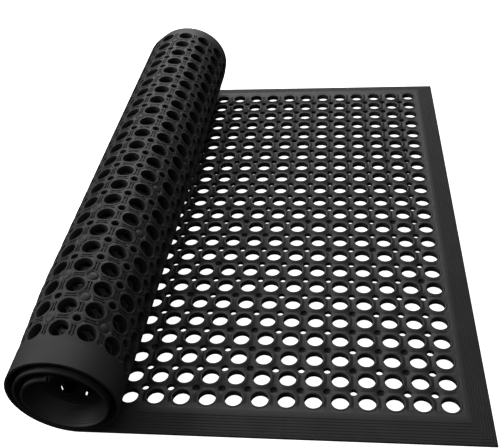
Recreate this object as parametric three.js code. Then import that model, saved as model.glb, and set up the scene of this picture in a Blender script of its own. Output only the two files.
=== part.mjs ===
// A moulded rubber drainage mat. It lies flat on the floor at +X and is rolled up over itself at -X.
// Millimetres, +Z up. The mat's width runs along +Y, from its front edge to its back edge.

import * as THREE from 'three';

// The mat as it would lie if it were all flat
const holePitch = 36.5;
const holeRows = 23;
const holeColumns = 40;
const holeDiameter = 26;
const sideBorder = 55.7;
const endBorder = 53.25;
const thickness = 11;
const rimThickness = 3.6;
const bevelWidth = 30;

// The roll. Its underside follows a spiral, a little wider than high, as it sags under its own weight.
// The perforated body is slack and fuller than the two ends, where the solid border is wound tighter.
const frontRollRadius = 84.3;
const backRollRadius = 88.9;
const frontFlatLength = 554;
const backFlatLength = 524.5;
const turnSpacing = 12.9;
const rollWidthFactor = 1.026;
const rollHeightFactor = 0.973;
const rimTurnSpacing = 11.75;
const bandWidth = 40;
const frontTaperWidth = 180;
const frontWidthTaper = 3;
const frontHeightTaper = 5.3;
const backTaper = 5.2;
const driftPerTurn = 4.7;
const skew = 4.2;

// The outer turn's holes are cut between these degrees of turn. Past them it faces the floor.
const firstOpenDegrees = 25;
const lastOpenDegrees = 310;

// How finely the stretches without holes are divided
const stepsPerTurn = 20;
const plainSpans = 3;

const fullTurn = 2 * Math.PI;
const matWidth = (holeRows - 1) * holePitch + 2 * sideBorder;
const matLength = (holeColumns - 1) * holePitch + 2 * endBorder;
const neutralHeight = thickness / 2;

// A hole is square here, with the open area of the round hole
const holeSide = (holeDiameter * Math.sqrt(Math.PI)) / 2;

const smooth = THREE.MathUtils.smoothstep;
const lerp = THREE.MathUtils.lerp;

function flatLengthAt(y) {
  return lerp(frontFlatLength, backFlatLength, y / matWidth);
}

function bodyRadiusAt(y) {
  return lerp(frontRollRadius, backRollRadius, y / matWidth);
}

// How much smaller the roll's half width or half height is towards the two edges
function taperAt(y, frontTaper) {
  const front = frontTaper * (1 - smooth(y, 0, frontTaperWidth));
  const back = backTaper * (1 - smooth(matWidth - y, 0, bandWidth));
  return front + back;
}

// The turns lie closer together at the thin rims
function spacingAt(y) {
  const toEdge = Math.min(y, matWidth - y);
  return lerp(rimTurnSpacing, turnSpacing, smooth(toEdge, 0, bandWidth));
}

// The angle that the roll has turned through after this much length of mat, at the neutral height
function turnAngle(rolledLength, y) {
  const startRadius = bodyRadiusAt(y) - neutralHeight;
  const meanFactor = (rollWidthFactor + rollHeightFactor) / 2;
  const rest = startRadius ** 2 - (rolledLength * turnSpacing) / (Math.PI * meanFactor);
  return (fullTurn / turnSpacing) * (startRadius - Math.sqrt(rest));
}

// Takes a point of the flat mat to its place: length from the right end, place across the width, height
function bend(length, y, height) {
  const flatLength = flatLengthAt(y);
  if (length <= flatLength) return new THREE.Vector3(-length, y, height);

  const angle = turnAngle(length - flatLength, y);
  const radius = bodyRadiusAt(y) - (spacingAt(y) * angle) / fullTurn;
  const radiusChange = -spacingAt(y) / fullTurn;
  const halfWidth = rollWidthFactor * radius - taperAt(y, frontWidthTaper);
  const halfHeight = rollHeightFactor * radius - taperAt(y, frontHeightTaper);
  const axisHeight = rollHeightFactor * bodyRadiusAt(y) - taperAt(y, frontHeightTaper);
  const sin = Math.sin(angle);
  const cos = Math.cos(angle);

  const alongX = -rollWidthFactor * radiusChange * sin - halfWidth * cos;
  const alongZ = halfHeight * sin - rollHeightFactor * radiusChange * cos;
  const speed = Math.hypot(alongX, alongZ);

  return new THREE.Vector3(
    -flatLength - halfWidth * sin + (height * alongZ) / speed,
    y - (driftPerTurn * angle) / fullTurn + skew * sin,
    axisHeight - halfHeight * cos - (height * alongX) / speed,
  );
}

function topHeight(length, y) {
  const toEdge = Math.min(length, matLength - length, y, matWidth - y);
  return lerp(rimThickness, thickness, Math.min(1, toEdge / bevelWidth));
}

function evenSteps(from, to, count) {
  return Array.from({ length: count + 1 }, (_, i) => lerp(from, to, i / count));
}

// The roll's turn at half the mat's width, and the length of mat at which that turn is reached
function middleAngleAt(length) {
  const middle = matWidth / 2;
  return turnAngle(Math.max(0, length - flatLengthAt(middle)), middle);
}

function lengthAtMiddleAngle(angle) {
  const middle = matWidth / 2;
  const startRadius = bodyRadiusAt(middle) - neutralHeight;
  const meanFactor = (rollWidthFactor + rollHeightFactor) / 2;
  return flatLengthAt(middle) + meanFactor * (startRadius * angle - (turnSpacing * angle ** 2) / (2 * fullTurn));
}

function isOpen(columnMiddle) {
  const degrees = THREE.MathUtils.radToDeg(middleAngleAt(columnMiddle));
  return degrees === 0 || (degrees > firstOpenDegrees && degrees < lastOpenDegrees);
}

// The mesh is made of lines across the mat, each at one length. A line beside holes has a corner at
// every hole's edge. A plain line has only some of those corners.
function plainLinesBetween(from, to) {
  const start = middleAngleAt(from);
  const end = middleAngleAt(to);
  const steps = Math.max(1, Math.ceil(((end - start) / fullTurn) * stepsPerTurn));
  const inner = evenSteps(start, end, steps).slice(1, -1);
  return inner.map((angle) => ({ length: lengthAtMiddleAngle(angle), besideHoles: false }));
}

function linesAcross() {
  const lines = [
    { length: 0, besideHoles: false },
    { length: bevelWidth, besideHoles: false },
  ];
  for (let column = 0; column < holeColumns; column++) {
    const columnMiddle = endBorder + column * holePitch;
    if (!isOpen(columnMiddle)) continue;
    const start = columnMiddle - holeSide / 2;
    const end = columnMiddle + holeSide / 2;
    lines.push(...plainLinesBetween(lines.at(-1).length, start));
    lines.push({ length: start, besideHoles: true, holesFollow: true });
    lines.push({ length: end, besideHoles: true });
  }
  lines.push(...plainLinesBetween(lines.at(-1).length, matLength - bevelWidth));
  lines.push({ length: matLength - bevelWidth, besideHoles: false });
  lines.push({ length: matLength, besideHoles: false });
  return lines;
}

// Places across the width: the edge, the bevel's end, both edges of every hole, and so on to the other side
function widthPlaces() {
  const rows = Array.from({ length: holeRows }, (_, row) => sideBorder + row * holePitch);
  const holeEdges = rows.flatMap((middle) => [middle - holeSide / 2, middle + holeSide / 2]);
  return [0, bevelWidth, ...holeEdges, matWidth - bevelWidth, matWidth];
}

const firstHoleEdge = 2;

function isHoleSpan(place, placeCount) {
  const fromFirst = place - firstHoleEdge;
  return fromFirst >= 0 && fromFirst % 2 === 0 && place < placeCount - firstHoleEdge - 1;
}

// The numbers of the places at which a plain line has its corners
function plainPlaces(placeCount) {
  const last = placeCount - 1;
  const inner = evenSteps(firstHoleEdge, last - firstHoleEdge, plainSpans).map(Math.round);
  return [0, 1, ...inner, last - 1, last];
}

// The whole mat, flat and rolled, as one closed mesh
function matGeometry() {
  const places = widthPlaces();
  const plain = plainPlaces(places.length);
  const all = places.map((_, place) => place);
  const positions = [];
  const lines = linesAcross().map((line) => {
    const used = line.besideHoles ? all : plain;
    const corners = new Map();
    for (const place of used) {
      corners.set(place, positions.length / 3);
      positions.push(...bend(line.length, places[place], 0).toArray());
      positions.push(...bend(line.length, places[place], topHeight(line.length, places[place])).toArray());
    }
    return { ...line, used, corners };
  });

  const index = [];

  // A wall from the underside to the top along each side of a loop of corners, seen from outside
  const addWalls = (loop) => {
    loop.forEach((corner, i) => {
      const next = loop[(i + 1) % loop.length];
      index.push(corner, next, next + 1, corner, next + 1, corner + 1);
    });
  };

  // The underside and the top between a row of corners and two corners that face it. The two part at one
  // corner of the row.
  const addFaces = (row, pair, parting, rowIsSecond) => {
    const addTriangle = (a, b, c) => {
      if (rowIsSecond) index.push(a, c, b, a + 1, b + 1, c + 1);
      else index.push(a, b, c, a + 1, c + 1, b + 1);
    };
    for (let k = 0; k < row.length - 1; k++) addTriangle(row[k], pair[k < parting ? 0 : 1], row[k + 1]);
    addTriangle(row[parting], pair[0], pair[1]);
  };

  const last = lines.length - 1;
  for (let i = 0; i < last; i++) {
    const first = lines[i];
    const second = lines[i + 1];
    const shared = first.used.filter((place) => second.corners.has(place));
    for (let s = 0; s < shared.length - 1; s++) {
      const from = shared[s];
      const to = shared[s + 1];
      const cornersOf = (line) =>
        line.used.filter((place) => place >= from && place <= to).map((place) => line.corners.get(place));
      const firstRow = cornersOf(first);
      const secondRow = cornersOf(second);
      if (first.holesFollow && isHoleSpan(from, places.length)) {
        addWalls([firstRow[1], firstRow[0], secondRow[0], secondRow[1]]);
        continue;
      }
      // In a corner of the mat the parting is on the mitre of the bevel
      const onMitre = (i === 0 && from === 0) || (i === last - 1 && to === places.length - 1);
      const rowIsSecond = secondRow.length > firstRow.length;
      const row = rowIsSecond ? secondRow : firstRow;
      const pair = rowIsSecond ? firstRow : secondRow;
      addFaces(row, pair, onMitre ? 0 : Math.ceil((row.length - 1) / 2), rowIsSecond);
    }
  }

  const lastPlace = places.length - 1;
  addWalls([
    ...plain.map((place) => lines[0].corners.get(place)),
    ...lines.slice(1, last).map((line) => line.corners.get(lastPlace)),
    ...plain.map((place) => lines[last].corners.get(place)).reverse(),
    ...lines.slice(1, last).map((line) => line.corners.get(0)).reverse(),
  ]);

  const geometry = new THREE.BufferGeometry();
  geometry.setAttribute('position', new THREE.Float32BufferAttribute(positions, 3));
  geometry.setIndex(index);
  geometry.computeVertexNormals();
  return geometry;
}

function makeMat() {
  const geometry = matGeometry();
  const material = new THREE.MeshStandardMaterial({ color: 0x303236, roughness: 0.6, metalness: 0 });
  const mat = new THREE.Mesh(geometry, material);
  mat.name = 'mat';

  // The origin is on the floor, under the middle of the whole part
  geometry.computeBoundingBox();
  const middle = geometry.boundingBox.getCenter(new THREE.Vector3());
  mat.position.set(-middle.x, -middle.y, 0);
  return mat;
}

const part = new THREE.Group();
part.add(makeMat());

export default part;
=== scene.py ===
"""Dresses the drainage mat: the moulded lattice with its holes, rings, ribs and studs, flat and rolled up."""

import math
import bpy
import numpy as np
from mathutils import Matrix, Vector


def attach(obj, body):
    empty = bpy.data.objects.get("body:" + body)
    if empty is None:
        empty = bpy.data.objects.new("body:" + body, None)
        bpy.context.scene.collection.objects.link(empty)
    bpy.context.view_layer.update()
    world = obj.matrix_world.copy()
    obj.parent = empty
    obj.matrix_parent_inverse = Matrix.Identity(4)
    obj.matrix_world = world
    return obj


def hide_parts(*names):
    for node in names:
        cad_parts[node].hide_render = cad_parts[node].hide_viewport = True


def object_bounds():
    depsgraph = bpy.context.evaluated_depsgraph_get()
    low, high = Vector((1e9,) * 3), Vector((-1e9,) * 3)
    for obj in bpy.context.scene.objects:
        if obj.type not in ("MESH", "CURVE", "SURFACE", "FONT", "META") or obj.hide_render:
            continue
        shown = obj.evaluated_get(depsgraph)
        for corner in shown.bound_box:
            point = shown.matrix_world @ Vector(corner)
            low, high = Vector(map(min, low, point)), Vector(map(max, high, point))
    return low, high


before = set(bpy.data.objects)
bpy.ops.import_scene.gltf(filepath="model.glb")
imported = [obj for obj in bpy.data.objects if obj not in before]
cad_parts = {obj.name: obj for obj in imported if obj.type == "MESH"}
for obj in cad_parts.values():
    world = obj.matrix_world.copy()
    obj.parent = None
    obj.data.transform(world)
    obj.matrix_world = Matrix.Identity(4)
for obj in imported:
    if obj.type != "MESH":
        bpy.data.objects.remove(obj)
cad_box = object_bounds()

MM = 0.001
FULL_TURN = 2 * math.pi

# The mat as it would lie if it were all flat, in millimetres
HOLE_PITCH = 36.5
HOLE_ROWS = 23
HOLE_COLUMNS = 40
SIDE_BORDER = 55.7
END_BORDER = 53.25
THICKNESS = 11.0
RIM_THICKNESS = 3.6
BEVEL_WIDTH = 30.0
MAT_WIDTH = (HOLE_ROWS - 1) * HOLE_PITCH + 2 * SIDE_BORDER
MAT_LENGTH = (HOLE_COLUMNS - 1) * HOLE_PITCH + 2 * END_BORDER

# The roll, as the part's own spiral
FRONT_ROLL_RADIUS = 84.3
BACK_ROLL_RADIUS = 88.9
FRONT_FLAT_LENGTH = 554.0
BACK_FLAT_LENGTH = 524.5
TURN_SPACING = 12.9
ROLL_WIDTH_FACTOR = 1.026
ROLL_HEIGHT_FACTOR = 0.973
RIM_TURN_SPACING = 11.75
BAND_WIDTH = 40.0
FRONT_TAPER_WIDTH = 180.0
FRONT_WIDTH_TAPER = 3.0
FRONT_HEIGHT_TAPER = 5.3
BACK_TAPER = 5.2
DRIFT_PER_TURN = 4.7
SKEW = 4.2
NEUTRAL_HEIGHT = THICKNESS / 2

# One cell of the lattice: a big hole in the middle and small holes at its corners
HALF_CELL = HOLE_PITCH / 2
BIG_RADIUS = 12.0
SMALL_RADIUS = 5.4
SMALL_RIM_RADIUS = 6.6
SMALL_CHAMFER = 0.5
TOP_DROP = 3.0
CORNER_TOP = THICKNESS - TOP_DROP

# The underside: rings with a foot round the big holes, ribs between them, bosses round the small holes
RING_FOOT_RADIUS = BIG_RADIUS + 4.1
BOSS_RADIUS = 9.3
BOSS_EDGE = 0.45
RIB_HALF_WIDTH = 0.7
RIB_FOOT = 1.15
RIB_DIP = 0.25
RECESS_DEPTH = 2.4
LEAST_RECESS_WIDTH = 0.1

# A blind pit in place of a small hole, and the stud under it: inset and height of the stud's circles
PIT_DEPTH = 5.0
PIT_ROUNDING = 0.6
STUD_GROOVE_DEPTH = 1.7
STUD_GROOVE_EDGE_SHARE = 0.35
STUD_CIRCLES = ((0.0, STUD_GROOVE_DEPTH), (0.5, 0.7), (1.4, 0.2))
BLIND_SHARE = 0.12
SEED = 7

# The blind pits that are easy to see at the front right and on the roll, by column and row of their corner
SEEN_STUDS = (
    (2, 0), (4, 0), (5, 0), (6, 0), (7, 0), (8, 0), (9, 0), (3, 1), (7, 1),
    (4, 2), (5, 2), (6, 2), (7, 2), (2, 3), (3, 3), (7, 3), (3, 4), (8, 5),
    (19, 0), (21, 0), (20, 1), (19, 2), (20, 2), (21, 5),
)

# Circles of a cell's top face and underside: radius, how far it follows the outline's angles, height
TOP_CIRCLES = (
    (BIG_RADIUS, 0.0, THICKNESS - 1.0),
    (BIG_RADIUS + 0.4, 0.0, THICKNESS - 0.3),
    (BIG_RADIUS + 1.2, 0.0, THICKNESS),
    (BIG_RADIUS + 2.9, 0.35, THICKNESS),
    (BIG_RADIUS + 3.6, 0.45, THICKNESS - 0.5),
)
UNDER_CIRCLES = (
    (BIG_RADIUS + 0.7, 0.0, 0.4),
    (BIG_RADIUS + 1.1, 0.0, 0.0),
    (BIG_RADIUS + 3.7, 0.3, 0.0),
)
RING_FOOT_FOLLOW = 0.5

# Steps of the outline in one quarter of a cell: two along the edge, four round the corner, two along.
# The first step along the edge ends where the groove between two rings begins to run out.
EDGE_STEPS = 2
GROOVE_HALF_LENGTH = 6.9
CORNER_STEPS = 4
QUARTER_STEPS = 2 * EDGE_STEPS + CORNER_STEPS

# How deep the underside's recess is on each ray of a quarter: a groove in the middle of each side, hardly
# any beyond it, and none where the big hole's ring meets the small hole's boss
RECESS_SHARE = np.array([1, 1, 0.16, 0.14, 0, 0.14, 0.16, 1, 1])

# How far the top falls away outside the big hole's raised ring: least in the middle of each side
TOP_DROP_SHARE = np.array([0.6, 0.7, 1, 1, 1, 1, 1, 0.7, 0.6])

# The border: distance in and height of the rim's points, and the fine grooves along the bevel
RIM_PROFILE = ((0.25, 0.0), (0.0, 0.4), (0.0, RIM_THICKNESS - 0.5), (0.4, RIM_THICKNESS))
GROOVES = 7
GROOVE_START = 3.6
GROOVE_PITCH = 3.9
GROOVE_DEPTH = 0.5
GROOVE_PROFILE = ((-0.75, 0), (-0.3, 1), (0.3, 1), (0.75, 0))
MITRE_STEPS = 8

COLUMNS_PER_PIECE = 8
WELD_STEPS_PER_MM = 200
SHARP_EDGE_DEGREES = 38

# The camera: its place from the middle of the hole nearest the right front corner, and its angles
CAMERA_FROM_HOLE = Vector((-0.1519, -0.6169, 0.8345))
CAMERA_ROTATION = Matrix((
    (0.99321296, -0.00339103, 0.11626052),
    (0.09130072, 0.64199149, -0.76125627),
    (-0.07205682, 0.76670426, 0.63794387),
))
CAMERA_LENS = 53.2

# The studio, in metres. The white of the floor is a little over pure white.
FLOOR_SIZE = 60
WHITE_FLOOR_HEIGHT = -0.0005
DIM_FLOOR_HEIGHT = -0.001
BACKDROP_RADIUS = 28
WHITE_GLOW = 1.1
WORLD_LIGHT = 0.2


def smooth_step(value, low, high):
    t = np.clip((value - low) / (high - low), 0, 1)
    return t * t * (3 - 2 * t)


def flat_length_at(y):
    return FRONT_FLAT_LENGTH + (BACK_FLAT_LENGTH - FRONT_FLAT_LENGTH) * y / MAT_WIDTH


def body_radius_at(y):
    return FRONT_ROLL_RADIUS + (BACK_ROLL_RADIUS - FRONT_ROLL_RADIUS) * y / MAT_WIDTH


def taper_at(y, front_taper):
    """How much smaller the roll's half width or half height is towards the two edges."""
    front = front_taper * (1 - smooth_step(y, 0, FRONT_TAPER_WIDTH))
    back = BACK_TAPER * (1 - smooth_step(MAT_WIDTH - y, 0, BAND_WIDTH))
    return front + back


def spacing_at(y):
    """The turns lie closer together at the thin rims."""
    to_edge = np.minimum(y, MAT_WIDTH - y)
    return RIM_TURN_SPACING + (TURN_SPACING - RIM_TURN_SPACING) * smooth_step(to_edge, 0, BAND_WIDTH)


def turn_angle(rolled_length, y):
    start_radius = body_radius_at(y) - NEUTRAL_HEIGHT
    mean_factor = (ROLL_WIDTH_FACTOR + ROLL_HEIGHT_FACTOR) / 2
    rest = start_radius ** 2 - rolled_length * TURN_SPACING / (math.pi * mean_factor)
    return FULL_TURN / TURN_SPACING * (start_radius - np.sqrt(rest))


def bend(points):
    """Takes points of the flat mat (length, width, height) to their places, flat or rolled."""
    length, y, height = points.T
    flat_length = flat_length_at(y)
    angle = turn_angle(np.maximum(length - flat_length, 0), y)
    radius = body_radius_at(y) - spacing_at(y) * angle / FULL_TURN
    radius_change = -spacing_at(y) / FULL_TURN
    half_width = ROLL_WIDTH_FACTOR * radius - taper_at(y, FRONT_WIDTH_TAPER)
    half_height = ROLL_HEIGHT_FACTOR * radius - taper_at(y, FRONT_HEIGHT_TAPER)
    axis_height = ROLL_HEIGHT_FACTOR * body_radius_at(y) - taper_at(y, FRONT_HEIGHT_TAPER)
    sin, cos = np.sin(angle), np.cos(angle)
    along_x = -ROLL_WIDTH_FACTOR * radius_change * sin - half_width * cos
    along_z = half_height * sin - ROLL_HEIGHT_FACTOR * radius_change * cos
    speed = np.hypot(along_x, along_z)
    rolled = np.stack([
        -flat_length - half_width * sin + height * along_z / speed,
        y - DRIFT_PER_TURN * angle / FULL_TURN + SKEW * sin,
        axis_height - half_height * cos - height * along_x / speed,
    ], axis=1)
    flat = np.stack([-length, y, height], axis=1)
    return np.where((length <= flat_length)[:, None], flat, rolled)


def flat_corner():
    """The place of the flat mat's right front corner: the bent back edge ends where the CAD box does."""
    length = np.linspace(0, MAT_LENGTH, 400)
    back_edge = bend(np.column_stack([length, np.full(400, MAT_WIDTH), np.zeros(400)]))
    return np.array([cad_box[1][0] / MM, cad_box[1][1] / MM - back_edge[:, 1].max(), 0.0])


class MeshParts:
    """Gathers vertices and faces in flat-mat coordinates."""

    def __init__(self):
        self.points = []
        self.quads = []
        self.triangles = []
        self.count = 0

    def add(self, points, quads=(), triangles=()):
        self.points.append(np.asarray(points, float))
        if len(quads):
            self.quads.append(np.asarray(quads) + self.count)
        if len(triangles):
            self.triangles.append(np.asarray(triangles) + self.count)
        self.count += len(points)

    def grid(self, rows, closed=False):
        """Joins successive rows of points with quads."""
        rows = [np.asarray(row, float) for row in rows]
        size = len(rows[0])
        steps = size if closed else size - 1
        quads = []
        for r in range(len(rows) - 1):
            for i in range(steps):
                j = (i + 1) % size
                quads.append((r * size + i, r * size + j, (r + 1) * size + j, (r + 1) * size + i))
        self.add(np.concatenate(rows), quads)

    def fan(self, ring, centre, upward):
        """Closes a ring of points with triangles round one point in its middle."""
        n = len(ring)
        order = [(i, (i + 1) % n, n) if upward else ((i + 1) % n, i, n) for i in range(n)]
        self.add(np.vstack([ring, centre]), triangles=order)

    def copy_in(self, source, place):
        points = np.concatenate(source.points) + place
        quads = np.concatenate(source.quads) if source.quads else ()
        triangles = np.concatenate(source.triangles) if source.triangles else ()
        self.add(points, quads, triangles)


def with_height(points, height):
    return np.column_stack([points, np.broadcast_to(height, len(points))])


def rotate_quarter(points, quarter):
    a = quarter * math.pi / 2
    c, s = round(math.cos(a)), round(math.sin(a))
    return points @ np.array([[c, s], [-s, c]])


def ring_of(quarters):
    return np.concatenate([q[:-1] for q in quarters])


def quarter_outline(has_corner):
    """The outline of a quarter of a cell, from the middle of one side to the middle of the next."""
    h, r = HALF_CELL, SMALL_RIM_RADIUS
    points = [(h, 0), (h, GROOVE_HALF_LENGTH)]
    for i in range(CORNER_STEPS + 1):
        if has_corner:
            a = -math.pi / 2 - math.pi / 2 * i / CORNER_STEPS
            points.append((h + r * math.cos(a), h + r * math.sin(a)))
        else:
            t = 2 * i / CORNER_STEPS
            points.append((h - r * max(t - 1, 0), h - r * max(1 - t, 0)))
    points += [(GROOVE_HALF_LENGTH, h), (0, h)]
    return np.array(points)


def quarter_inset(has_corner, rib_inset, corner_radius):
    """The outline drawn in from the cell's sides, round a corner boss of the given radius."""
    h = HALF_CELL
    side = h - rib_inset
    if not has_corner:
        return np.minimum(quarter_outline(False), side)
    reach = h - math.sqrt(corner_radius ** 2 - rib_inset ** 2)
    points = [(side, 0), (side, min(GROOVE_HALF_LENGTH, reach)), (side, reach)]
    for i in range(1, CORNER_STEPS):
        a = -math.pi / 2 - math.pi / 2 * i / CORNER_STEPS
        points.append((h + corner_radius * math.cos(a), h + corner_radius * math.sin(a)))
    points += [(reach, side), (min(GROOVE_HALF_LENGTH, reach), side), (0, side)]
    return np.array(points)


def circle_on_rays(radius, follow, outline, quarter):
    """A quarter of a circle whose angles lie between even steps and the outline's own."""
    even = np.arange(QUARTER_STEPS + 1) * math.pi / 2 / QUARTER_STEPS
    own = np.arctan2(outline[:, 1], outline[:, 0])
    angle = even + (own - even) * follow
    circle = np.stack([np.cos(angle), np.sin(angle)], 1) * np.reshape(radius, (-1, 1))
    return rotate_quarter(circle, quarter)


def circle_rows(circles, outlines):
    rows = []
    for radius, follow, height in circles:
        quarters = [circle_on_rays(radius, follow, outlines[q], q) for q in range(4)]
        rows.append(with_height(ring_of(quarters), height))
    return rows


def top_edge(outlines, corners, open_sides):
    """The cell's outline on the top face, lower than the big hole's ring except beside the border."""
    quarters = []
    for q in range(4):
        drop = TOP_DROP_SHARE.copy()
        drop[:EDGE_STEPS] *= open_sides[q]
        drop[-EDGE_STEPS:] *= open_sides[(q + 1) % 4]
        if corners[q] is None:
            drop[EDGE_STEPS:-EDGE_STEPS] = 0
        quarters.append(with_height(rotate_quarter(outlines[q], q), THICKNESS - TOP_DROP * drop))
    return ring_of(quarters)


def under_relief(outlines, corners, open_sides):
    """Rows of the underside, from the foot of the big hole's ring over the recess and rib to the outline."""
    foot, rib_foot, rib_edge, edge = [], [], [], []
    for q in range(4):
        has_corner = corners[q] is not None
        share = RECESS_SHARE.copy()
        share[:EDGE_STEPS + 2] *= open_sides[q]
        share[-EDGE_STEPS - 2:] *= open_sides[(q + 1) % 4]
        if not has_corner:
            share[EDGE_STEPS:-EDGE_STEPS] = 0
        groove = np.zeros(QUARTER_STEPS + 1)
        if corners[q] == "stud":
            groove[EDGE_STEPS:-EDGE_STEPS] = STUD_GROOVE_DEPTH
        dip = RIB_DIP * share
        far = quarter_inset(has_corner, RIB_FOOT, BOSS_RADIUS)
        near = quarter_inset(has_corner, RIB_HALF_WIDTH, BOSS_RADIUS - BOSS_EDGE)
        foot_radius = np.minimum(RING_FOOT_RADIUS, np.linalg.norm(far, axis=1) - LEAST_RECESS_WIDTH)
        foot.append(with_height(circle_on_rays(foot_radius, RING_FOOT_FOLLOW, far, q), RECESS_DEPTH * share))
        rib_foot.append(with_height(rotate_quarter(far, q), RECESS_DEPTH * share))
        rib_edge_height = np.maximum(dip, groove * STUD_GROOVE_EDGE_SHARE)
        rib_edge.append(with_height(rotate_quarter(near, q), rib_edge_height))
        edge.append(with_height(rotate_quarter(outlines[q], q), np.maximum(dip, groove)))
    return [ring_of(foot), ring_of(rib_foot), ring_of(rib_edge), ring_of(edge)]


def cell_mesh(corners, open_sides):
    """One cell's top face, hole wall and underside. corners: what each corner holds, None, 'hole' or
    'stud'. open_sides: whether each side meets another cell rather than the border."""
    outlines = [quarter_outline(corner is not None) for corner in corners]
    top_rows = circle_rows(TOP_CIRCLES, outlines) + [top_edge(outlines, corners, open_sides)]
    under_rows = circle_rows(UNDER_CIRCLES, outlines) + under_relief(outlines, corners, open_sides)
    mesh = MeshParts()
    mesh.grid(top_rows, closed=True)
    mesh.grid([under_rows[0], top_rows[0]], closed=True)
    mesh.grid(under_rows[::-1], closed=True)
    return mesh


def corner_ring(radius, height):
    a = np.arange(4 * CORNER_STEPS) * FULL_TURN / (4 * CORNER_STEPS)
    return with_height(np.stack([np.cos(a), np.sin(a)], 1) * radius, height)


def small_hole_mesh():
    mesh = MeshParts()
    mesh.grid([
        corner_ring(SMALL_RIM_RADIUS, 0.0),
        corner_ring(SMALL_RADIUS, SMALL_CHAMFER),
        corner_ring(SMALL_RADIUS, CORNER_TOP - SMALL_CHAMFER),
        corner_ring(SMALL_RIM_RADIUS, CORNER_TOP),
    ], closed=True)
    return mesh


def stud_mesh():
    """A blind pit in the top face, with a low dome in a round groove under it."""
    floor = CORNER_TOP - PIT_DEPTH
    floor_ring = corner_ring(SMALL_RADIUS - PIT_ROUNDING, floor)
    mesh = MeshParts()
    mesh.grid([
        floor_ring,
        corner_ring(SMALL_RADIUS, floor + PIT_ROUNDING),
        corner_ring(SMALL_RADIUS, CORNER_TOP - SMALL_CHAMFER),
        corner_ring(SMALL_RIM_RADIUS, CORNER_TOP),
    ], closed=True)
    mesh.fan(floor_ring, (0, 0, floor), upward=True)
    dome = [corner_ring(SMALL_RIM_RADIUS - inset, height) for inset, height in STUD_CIRCLES]
    mesh.grid(dome[::-1], closed=True)
    mesh.fan(dome[-1], (0, 0, 0), upward=False)
    return mesh


def corner_kinds():
    """What each inner corner of the lattice holds, by column and row."""
    draw = np.random.default_rng(SEED)
    kinds = np.where(draw.random((HOLE_COLUMNS - 1, HOLE_ROWS - 1)) < BLIND_SHARE, "stud", "hole")
    for column, row in SEEN_STUDS:
        kinds[column, row] = "stud"
    return kinds


def kind_at(kinds, column, row):
    if 0 <= column < HOLE_COLUMNS - 1 and 0 <= row < HOLE_ROWS - 1:
        return str(kinds[column, row])
    return None


def lattice_columns(first, last, kinds):
    """The cells of some columns as one mesh, in flat-mat coordinates."""
    cells = {}
    mesh = MeshParts()
    inserts = {"hole": small_hole_mesh(), "stud": stud_mesh()}
    for column in range(first, last):
        for row in range(HOLE_ROWS):
            corners = (
                kind_at(kinds, column, row),
                kind_at(kinds, column - 1, row),
                kind_at(kinds, column - 1, row - 1),
                kind_at(kinds, column, row - 1),
            )
            sides = (column < HOLE_COLUMNS - 1, row < HOLE_ROWS - 1, column > 0, row > 0)
            key = (corners, sides)
            if key not in cells:
                cells[key] = cell_mesh(corners, sides)
            place = np.array([END_BORDER + column * HOLE_PITCH, SIDE_BORDER + row * HOLE_PITCH, 0])
            mesh.copy_in(cells[key], place)
            if corners[0]:
                mesh.copy_in(inserts[corners[0]], place + (HALF_CELL, HALF_CELL, 0))
    return mesh


def border_profile():
    """Distance in from the rim and height, up the rim and over the grooved bevel."""
    points = list(RIM_PROFILE)
    slope = (THICKNESS - RIM_THICKNESS) / BEVEL_WIDTH
    for i in range(GROOVES):
        middle = GROOVE_START + i * GROOVE_PITCH
        for offset, sink in GROOVE_PROFILE:
            d = middle + offset
            points.append((d, RIM_THICKNESS + slope * d - sink * GROOVE_DEPTH))
    points.append((BEVEL_WIDTH, THICKNESS))
    return points


def lattice_edge_steps(count):
    """Places of the lattice's outline points along one of its sides, from the first cell's middle."""
    rim = HALF_CELL - SMALL_RIM_RADIUS
    beside_rim = HALF_CELL - SMALL_RIM_RADIUS / 2
    one = [-HALF_CELL, -beside_rim, -rim, -GROOVE_HALF_LENGTH, 0, GROOVE_HALF_LENGTH, rim, beside_rim]
    places = [HOLE_PITCH * i + step for i in range(count) for step in one]
    return np.array(places + [HOLE_PITCH * (count - 1) + HALF_CELL])


def add_corner(mesh, profile, end_width, side_width, at_right, at_front):
    """A mitred corner of the border. Each half is a fan of the profile's lines up to the mitre."""
    def place(from_end, from_side, z):
        x = from_end if at_right else MAT_LENGTH - from_end
        y = from_side if at_front else MAT_WIDTH - from_side
        return (x, y, z)

    side_rows, end_rows = [], []
    steps = range(MITRE_STEPS + 1)
    for d, z in [(None, 0.0), *profile, (None, THICKNESS)]:
        mitre_x = end_width if d is None else d
        mitre_y = side_width if d is None else d
        to_end, to_side = end_width - mitre_x, side_width - mitre_y
        side_rows.append([place(mitre_x + to_end * i / MITRE_STEPS, mitre_y, z) for i in steps])
        end_rows.append([place(mitre_x, mitre_y + to_side * i / MITRE_STEPS, z) for i in steps])
    flip = at_right != at_front
    mesh.grid(side_rows[::-1] if flip else side_rows)
    mesh.grid(end_rows if flip else end_rows[::-1])


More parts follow.
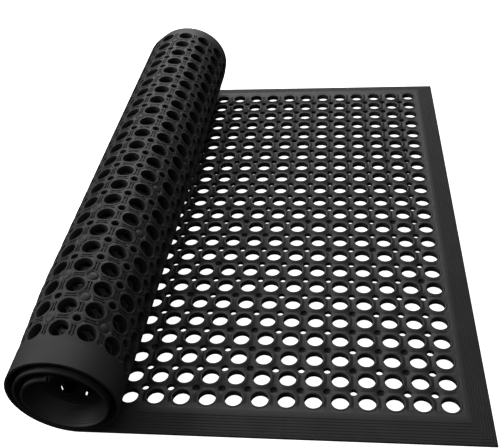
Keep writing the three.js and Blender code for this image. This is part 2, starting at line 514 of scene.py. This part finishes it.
def border_mesh():
    profile = border_profile()
    side_width = SIDE_BORDER - HALF_CELL
    end_width = END_BORDER - HALF_CELL
    along = END_BORDER + lattice_edge_steps(HOLE_COLUMNS)
    across = SIDE_BORDER + lattice_edge_steps(HOLE_ROWS)
    mesh = MeshParts()
    for at_front in (True, False):
        rows = []
        for d, z in [(side_width, 0.0), *profile, (side_width, THICKNESS)]:
            y = d if at_front else MAT_WIDTH - d
            rows.append(np.column_stack([along, np.full(len(along), y), np.full(len(along), z)]))
        mesh.grid(rows if at_front else rows[::-1])
    for at_right in (True, False):
        rows = []
        for d, z in [(end_width, 0.0), *profile, (end_width, THICKNESS)]:
            x = d if at_right else MAT_LENGTH - d
            rows.append(np.column_stack([np.full(len(across), x), across, np.full(len(across), z)]))
        mesh.grid(rows[::-1] if at_right else rows)
    for at_right in (True, False):
        for at_front in (True, False):
            add_corner(mesh, profile, end_width, side_width, at_right, at_front)
    return mesh


def make_object(name, mesh, material, origin):
    """Welds the flat mesh, bends it into place and makes the object."""
    flat = np.concatenate(mesh.points)
    keys = np.round(flat * WELD_STEPS_PER_MM).astype(np.int64)
    _, first, inverse = np.unique(keys, axis=0, return_index=True, return_inverse=True)
    inverse = inverse.ravel()
    placed = (bend(flat[first]) + origin) * MM
    faces, slim = [], []
    for quad in inverse[np.concatenate(mesh.quads)].tolist():
        corners = tuple(dict.fromkeys(quad))
        if len(corners) == 4:
            faces.append(corners)
        elif len(corners) == 3:
            slim.append(corners)
    triangles = inverse[np.concatenate(mesh.triangles)].tolist() if mesh.triangles else []
    data = bpy.data.meshes.new(name)
    data.from_pydata(placed.tolist(), [], faces + slim + triangles)
    data.validate()
    data.polygons.foreach_set("use_smooth", [True] * len(data.polygons))
    data.update()
    data.set_sharp_from_angle(angle=math.radians(SHARP_EDGE_DEGREES))
    obj = bpy.data.objects.new(name, data)
    bpy.context.scene.collection.objects.link(obj)
    data.materials.append(material)
    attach(obj, "root")
    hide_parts("mat")


def rubber_material():
    material = bpy.data.materials.new("black_rubber")
    material.use_nodes = True
    nodes, links = material.node_tree.nodes, material.node_tree.links
    shader = nodes["Principled BSDF"]
    shader.inputs["Specular IOR Level"].default_value = 0.5
    place = nodes.new("ShaderNodeTexCoord")

    mottle = nodes.new("ShaderNodeTexNoise")
    mottle.inputs["Scale"].default_value = 14
    mottle.inputs["Detail"].default_value = 6
    mottle.inputs["Roughness"].default_value = 0.65
    links.new(place.outputs["Object"], mottle.inputs["Vector"])
    tone = nodes.new("ShaderNodeValToRGB")
    tone.color_ramp.elements[0].position = 0.3
    tone.color_ramp.elements[0].color = (0.0075, 0.0075, 0.0085, 1)
    tone.color_ramp.elements[1].position = 0.75
    tone.color_ramp.elements[1].color = (0.017, 0.017, 0.019, 1)
    links.new(mottle.outputs["Fac"], tone.inputs["Fac"])
    links.new(tone.outputs["Color"], shader.inputs["Base Color"])

    sheen = nodes.new("ShaderNodeMapRange")
    sheen.inputs["To Min"].default_value = 0.5
    sheen.inputs["To Max"].default_value = 0.68
    links.new(mottle.outputs["Fac"], sheen.inputs["Value"])
    links.new(sheen.outputs["Result"], shader.inputs["Roughness"])

    grain = nodes.new("ShaderNodeTexNoise")
    grain.inputs["Scale"].default_value = 900
    grain.inputs["Detail"].default_value = 3
    links.new(place.outputs["Object"], grain.inputs["Vector"])
    bump = nodes.new("ShaderNodeBump")
    bump.inputs["Strength"].default_value = 0.25
    bump.inputs["Distance"].default_value = 0.0002
    links.new(grain.outputs["Fac"], bump.inputs["Height"])
    links.new(bump.outputs["Normal"], shader.inputs["Normal"])
    return material


def make_camera(origin):
    data = bpy.data.cameras.new("camera")
    data.sensor_width = 36
    data.lens = CAMERA_LENS
    data.clip_end = 50
    camera = bpy.data.objects.new("camera", data)
    bpy.context.scene.collection.objects.link(camera)
    hole = Vector(((origin[0] - END_BORDER) * MM, (origin[1] + SIDE_BORDER) * MM, THICKNESS / 2 * MM))
    camera.matrix_world = Matrix.Translation(hole + CAMERA_FROM_HOLE) @ CAMERA_ROTATION.to_4x4()
    bpy.context.scene.camera = camera


def matt_material(name, brightness):
    material = bpy.data.materials.new(name)
    material.use_nodes = True
    shader = material.node_tree.nodes["Principled BSDF"]
    shader.inputs["Base Color"].default_value = (brightness, brightness, brightness, 1)
    shader.inputs["Roughness"].default_value = 0.9
    return material, shader


def name_stage(name, material):
    """Names the object that was just added and gives it its material."""
    obj = bpy.context.object
    obj.name = name
    obj.data.materials.append(material)
    return obj


def make_stage():
    """The floor and backdrop look pure white, but hardly any light comes up through the holes."""
    white, shader = matt_material("white_floor", 0.9)
    shader.inputs["Emission Color"].default_value = (1, 1, 1, 1)
    shader.inputs["Emission Strength"].default_value = WHITE_GLOW
    dim, _ = matt_material("dim_floor", 0.05)

    bpy.ops.mesh.primitive_plane_add(size=FLOOR_SIZE, location=(0, 0, WHITE_FLOOR_HEIGHT))
    floor = name_stage("white_floor", white)
    floor.visible_diffuse = False
    floor.visible_glossy = False

    bpy.ops.mesh.primitive_plane_add(size=FLOOR_SIZE, location=(0, 0, DIM_FLOOR_HEIGHT))
    name_stage("dim_floor", dim).visible_camera = False

    bpy.ops.mesh.primitive_uv_sphere_add(radius=BACKDROP_RADIUS, segments=48, ring_count=24)
    backdrop = name_stage("backdrop", white)
    backdrop.visible_diffuse = False
    backdrop.visible_glossy = False
    backdrop.visible_shadow = False


def add_area_light(name, place, size, power):
    data = bpy.data.lights.new(name, "AREA")
    data.shape = "DISK"
    data.size = size
    data.energy = power
    light = bpy.data.objects.new(name, data)
    bpy.context.scene.collection.objects.link(light)
    light.location = place
    light.rotation_euler = (-Vector(place)).to_track_quat("-Z", "Y").to_euler()


def light_scene():
    bpy.context.scene.view_settings.view_transform = "Standard"
    world = bpy.data.worlds.new("studio")
    bpy.context.scene.world = world
    world.use_nodes = True
    background = world.node_tree.nodes["Background"]
    background.inputs["Color"].default_value = (1, 1, 1, 1)
    background.inputs["Strength"].default_value = WORLD_LIGHT

    add_area_light("back_light", place=(-0.5, 2.4, 1.7), size=2.2, power=48)
    add_area_light("left_light", place=(-2.2, -0.4, 1.7), size=1.4, power=46)
    add_area_light("front_light", place=(0.5, -1.2, 2.9), size=1.2, power=6)


def main():
    origin = flat_corner()
    make_camera(origin)
    make_stage()
    light_scene()
    rubber = rubber_material()
    kinds = corner_kinds()
    for number, first in enumerate(range(0, HOLE_COLUMNS, COLUMNS_PER_PIECE), start=1):
        last = min(first + COLUMNS_PER_PIECE, HOLE_COLUMNS)
        make_object(f"lattice_{number}", lattice_columns(first, last, kinds), rubber, origin)
    make_object("border", border_mesh(), rubber, origin)


main()
